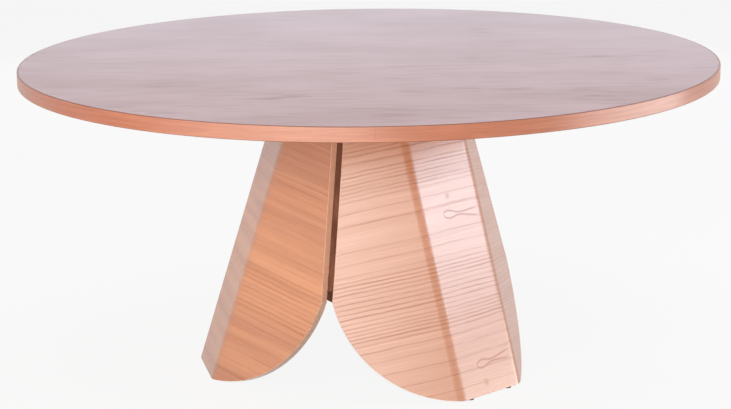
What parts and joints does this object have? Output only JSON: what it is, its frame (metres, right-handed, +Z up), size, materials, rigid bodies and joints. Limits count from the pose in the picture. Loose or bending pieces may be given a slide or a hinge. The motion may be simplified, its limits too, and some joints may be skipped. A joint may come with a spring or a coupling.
{
  "type": "dining table",
  "caption": "Round veneered dining table on a pedestal of bent plywood petals that lean outward, with recessed battens behind the seams and small floor glides.",
  "frame": {"origin": "on the floor, under the centre of the round top", "axes": "+Z up, -Y towards the picture's camera, +X along the grain of the top"},
  "size_m": [1.65, 1.65, 0.74],
  "materials": {
    "top_veneer": "satin lacquered veneer",
    "under_veneer": "matt sealed veneer",
    "core_board": "raw board",
    "edge_wood": "satin lacquered solid wood",
    "petal_veneer": "satin lacquered veneer",
    "batten_wood": "dark stained wood",
    "plywood": "raw plywood",
    "cleat_wood": "raw wood",
    "steel": "zinc plated",
    "brass": "plain",
    "black_plastic": "matt"
  },
  "bodies": {
    "root": {"top_core": "core_board", "face_veneer": "top_veneer", "balance_veneer": "under_veneer", "edge_band_left": "edge_wood", "edge_band_right": "edge_wood", "petal_right": "petal_veneer", "petal_rear": "petal_veneer", "petal_left": "petal_veneer", "seam_batten_front": "batten_wood", "seam_batten_rear_right": "batten_wood", "seam_batten_rear_left": "batten_wood", "head_plate": "plywood", "rib_plate": "plywood", "head_cleat_right": "cleat_wood", "head_cleat_rear": "cleat_wood", "head_cleat_left": "cleat_wood", "rib_cleat_right": "cleat_wood", "rib_cleat_rear": "cleat_wood", "rib_cleat_left": "cleat_wood", "fixing_bolt_1": "steel", "fixing_bolt_2": "steel", "fixing_bolt_3": "steel", "fixing_bolt_4": "steel", "fixing_bolt_5": "steel", "fixing_bolt_6": "steel", "fixing_washer_1": "steel", "fixing_washer_2": "steel", "fixing_washer_3": "steel", "fixing_washer_4": "steel", "fixing_washer_5": "steel", "fixing_washer_6": "steel", "threaded_insert_1": "brass", "threaded_insert_2": "brass", "threaded_insert_3": "brass", "threaded_insert_4": "brass", "threaded_insert_5": "brass", "threaded_insert_6": "brass", "floor_glide_right_a": "black_plastic", "floor_glide_right_b": "black_plastic", "floor_glide_rear_a": "black_plastic", "floor_glide_rear_b": "black_plastic", "floor_glide_left_a": "black_plastic", "floor_glide_left_b": "black_plastic"}
  },
  "joints": []
}
